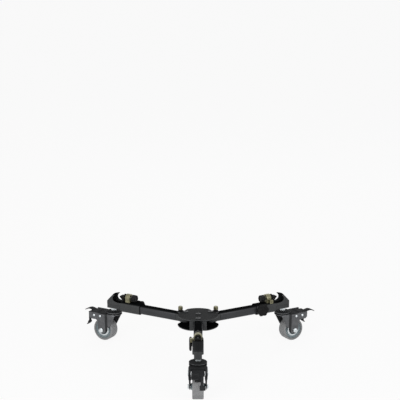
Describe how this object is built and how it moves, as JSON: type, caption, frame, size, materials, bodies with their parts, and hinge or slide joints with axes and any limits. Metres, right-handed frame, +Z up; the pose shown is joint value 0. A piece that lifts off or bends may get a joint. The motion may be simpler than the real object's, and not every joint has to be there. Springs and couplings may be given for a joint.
{
  "type": "tripod dolly",
  "caption": "Folding three-arm wheeled base for a tripod: flat hub, sliding foot cups with screw clamps, braked swivel casters.",
  "frame": {"origin": "on the floor, under the middle of the dolly's outline; the hub's axis is 101.81 mm behind it and 4.63 mm to its left", "axes": "+Z up; -Y along the fixed front arm, towards the viewer; +X to the right, across the two folding arms"},
  "size_m": [0.774, 0.6784, 0.172],
  "materials": {
    "cast_black": "fine-textured black powder coat on die-cast aluminium",
    "tube_black": "satin black anodised extrusion",
    "gunmetal_steel": "dark grey zinc-plated pressed steel",
    "dark_steel": "blackened steel",
    "zinc_steel": "bright zinc plate",
    "gold_anodised": "pale olive-gold machined metal",
    "black_plastic": "moulded black plastic",
    "black_rubber": "matt black rubber",
    "tread_rubber": "mid-grey soft rubber tread",
    "rim_plastic": "blue-grey moulded wheel core",
    "spring_steel": "drawn spring wire"
  },
  "bodies": {
    "hub": {"hub_base": "cast_black", "hub_top_plate": "cast_black", "hub_screw": "dark_steel", "front_arm_tube": "tube_black", "front_arm_root": "cast_black", "front_root_bolt": "dark_steel", "right_root_bolt": "dark_steel", "left_root_bolt": "dark_steel", "right_plunger_body": "black_plastic", "left_plunger_body": "black_plastic", "right_plunger_spring": "spring_steel", "left_plunger_spring": "spring_steel"},
    "right_arm": {"right_arm_tube": "tube_black", "right_arm_root": "cast_black"},
    "left_arm": {"left_arm_tube": "tube_black", "left_arm_root": "cast_black"},
    "right_plunger_pin": {"right_plunger_pin": "gold_anodised"},
    "left_plunger_pin": {"left_plunger_pin": "gold_anodised"},
    "front_slider": {"front_slider": "cast_black", "front_clamp_block": "gold_anodised", "front_caster_stem": "gunmetal_steel", "front_stem_nut": "zinc_steel"},
    "front_lock_knob": {"front_lock_knob": "black_plastic"},
    "front_clamp_pad": {"front_clamp_pad": "black_rubber"},
    "front_clamp_screw": {"front_clamp_screw": "zinc_steel", "front_clamp_knob": "black_plastic"},
    "front_caster": {"front_fork": "gunmetal_steel", "front_axle_bolt": "zinc_steel", "front_pedal_pin": "zinc_steel"},
    "front_wheel": {"front_wheel_tread": "tread_rubber", "front_wheel_core": "rim_plastic"},
    "front_brake_pedal": {"front_brake_pedal": "gunmetal_steel"},
    "right_slider": {"right_slider": "cast_black", "right_clamp_block": "gold_anodised", "right_caster_stem": "gunmetal_steel", "right_stem_nut": "zinc_steel"},
    "right_lock_knob": {"right_lock_knob": "black_plastic"},
    "right_clamp_pad": {"right_clamp_pad": "black_rubber"},
    "right_clamp_screw": {"right_clamp_screw": "zinc_steel", "right_clamp_knob": "black_plastic"},
    "right_caster": {"right_fork": "gunmetal_steel", "right_axle_bolt": "zinc_steel", "right_pedal_pin": "zinc_steel"},
    "right_wheel": {"right_wheel_tread": "tread_rubber", "right_wheel_core": "rim_plastic"},
    "right_brake_pedal": {"right_brake_pedal": "gunmetal_steel"},
    "left_slider": {"left_slider": "cast_black", "left_clamp_block": "gold_anodised", "left_caster_stem": "gunmetal_steel", "left_stem_nut": "zinc_steel"},
    "left_lock_knob": {"left_lock_knob": "black_plastic"},
    "left_clamp_pad": {"left_clamp_pad": "black_rubber"},
    "left_clamp_screw": {"left_clamp_screw": "zinc_steel", "left_clamp_knob": "black_plastic"},
    "left_caster": {"left_fork": "gunmetal_steel", "left_axle_bolt": "zinc_steel", "left_pedal_pin": "zinc_steel"},
    "left_wheel": {"left_wheel_tread": "tread_rubber", "left_wheel_core": "rim_plastic"},
    "left_brake_pedal": {"left_brake_pedal": "gunmetal_steel"}
  },
  "joints": [
    {"name": "right_arm_fold", "type": "hinge", "parent": "hub", "child": "right_arm", "pos_m": [0.03521, 0.12481, 0.127], "axis": [0, 0, -1], "range_deg": [0, 114]},
    {"name": "right_plunger_pull", "type": "slide", "parent": "hub", "child": "right_plunger_pin", "axis": [0, 0, 1], "range_m": [0, 0.005], "stiffness_N_per_m": 800, "springref_m": -0.006, "deforming": ["right_plunger_spring"]},
    {"name": "left_arm_fold", "type": "hinge", "parent": "hub", "child": "left_arm", "pos_m": [-0.04446, 0.12481, 0.127], "axis": [0, 0, 1], "range_deg": [0, 114]},
    {"name": "left_plunger_pull", "type": "slide", "parent": "hub", "child": "left_plunger_pin", "axis": [0, 0, 1], "range_m": [0, 0.005], "stiffness_N_per_m": 800, "springref_m": -0.006, "deforming": ["left_plunger_spring"]},
    {"name": "front_slide", "type": "slide", "parent": "hub", "child": "front_slider", "axis": [0, -1, 0], "range_m": [-0.025, 0.02]},
    {"name": "front_lock_turn", "type": "hinge", "parent": "front_slider", "child": "front_lock_knob", "pos_m": [-0.02162, -0.13169, 0.127], "axis": [-1, 0, 0], "range_deg": [0, 180]},
    {"name": "front_clamp_advance", "type": "slide", "parent": "front_slider", "child": "front_clamp_pad", "axis": [0, -1, 0], "range_m": [-0.005, 0.0045]},
    {"name": "front_clamp_turn", "type": "hinge", "parent": "front_clamp_pad", "child": "front_clamp_screw", "pos_m": [-0.00462, -0.15319, 0.159], "axis": [0, -1, 0], "range_deg": [-900, 810]},
    {"name": "front_swivel", "type": "hinge", "parent": "front_slider", "child": "front_caster", "pos_m": [-0.00462, -0.22319, 0.097], "axis": [0, 0, 1], "continuous": true},
    {"name": "front_wheel_spin", "type": "hinge", "parent": "front_caster", "child": "front_wheel", "pos_m": [-0.00462, -0.25719, 0.0375], "axis": [1, 0, 0], "continuous": true},
    {"name": "front_brake", "type": "hinge", "parent": "front_caster", "child": "front_brake_pedal", "pos_m": [-0.00462, -0.28419, 0.087], "axis": [1, 0, 0], "range_deg": [0, 10]},
    {"name": "right_slide", "type": "slide", "parent": "right_arm", "child": "right_slider", "axis": [0.866, 0.5, 0], "range_m": [-0.025, 0.02]},
    {"name": "right_lock_turn", "type": "hinge", "parent": "right_slider", "child": "right_lock_knob", "pos_m": [0.20609, 0.20383, 0.127], "axis": [0.5, -0.866, 0], "range_deg": [0, 180]},
    {"name": "right_clamp_advance", "type": "slide", "parent": "right_slider", "child": "right_clamp_pad", "axis": [0.866, 0.5, 0], "range_m": [-0.005, 0.0045]},
    {"name": "right_clamp_turn", "type": "hinge", "parent": "right_clamp_pad", "child": "right_clamp_screw", "pos_m": [0.21621, 0.22931, 0.159], "axis": [0.866, 0.5, 0], "range_deg": [-900, 810]},
    {"name": "right_swivel", "type": "hinge", "parent": "right_slider", "child": "right_caster", "pos_m": [0.27683, 0.26431, 0.097], "axis": [0, 0, 1], "continuous": true},
    {"name": "right_wheel_spin", "type": "hinge", "parent": "right_caster", "child": "right_wheel", "pos_m": [0.30628, 0.28131, 0.0375], "axis": [-0.5, 0.866, 0], "continuous": true},
    {"name": "right_brake", "type": "hinge", "parent": "right_caster", "child": "right_brake_pedal", "pos_m": [0.32966, 0.29481, 0.087], "axis": [-0.5, 0.866, 0], "range_deg": [0, 10]},
    {"name": "left_slide", "type": "slide", "parent": "left_arm", "child": "left_slider", "axis": [-0.866, 0.5, 0], "range_m": [-0.025, 0.02]},
    {"name": "left_lock_turn", "type": "hinge", "parent": "left_slider", "child": "left_lock_knob", "pos_m": [-0.19834, 0.23328, 0.127], "axis": [0.5, 0.866, 0], "range_deg": [0, 180]},
    {"name": "left_clamp_advance", "type": "slide", "parent": "left_slider", "child": "left_clamp_pad", "axis": [-0.866, 0.5, 0], "range_m": [-0.005, 0.0045]},
    {"name": "left_clamp_turn", "type": "hinge", "parent": "left_clamp_pad", "child": "left_clamp_screw", "pos_m": [-0.22546, 0.22931, 0.159], "axis": [-0.866, 0.5, 0], "range_deg": [-900, 810]},
    {"name": "left_swivel", "type": "hinge", "parent": "left_slider", "child": "left_caster", "pos_m": [-0.28608, 0.26431, 0.097], "axis": [0, 0, 1], "continuous": true},
    {"name": "left_wheel_spin", "type": "hinge", "parent": "left_caster", "child": "left_wheel", "pos_m": [-0.31553, 0.28131, 0.0375], "axis": [-0.5, -0.866, 0], "continuous": true},
    {"name": "left_brake", "type": "hinge", "parent": "left_caster", "child": "left_brake_pedal", "pos_m": [-0.33891, 0.29481, 0.087], "axis": [-0.5, -0.866, 0], "range_deg": [0, 10]}
  ],
  "couplings": [
    {"joint": "front_clamp_turn", "follows": "front_clamp_advance", "rad_per_m": 3141.6},
    {"joint": "right_clamp_turn", "follows": "right_clamp_advance", "rad_per_m": 3141.6},
    {"joint": "left_clamp_turn", "follows": "left_clamp_advance", "rad_per_m": 3141.6}
  ]
}
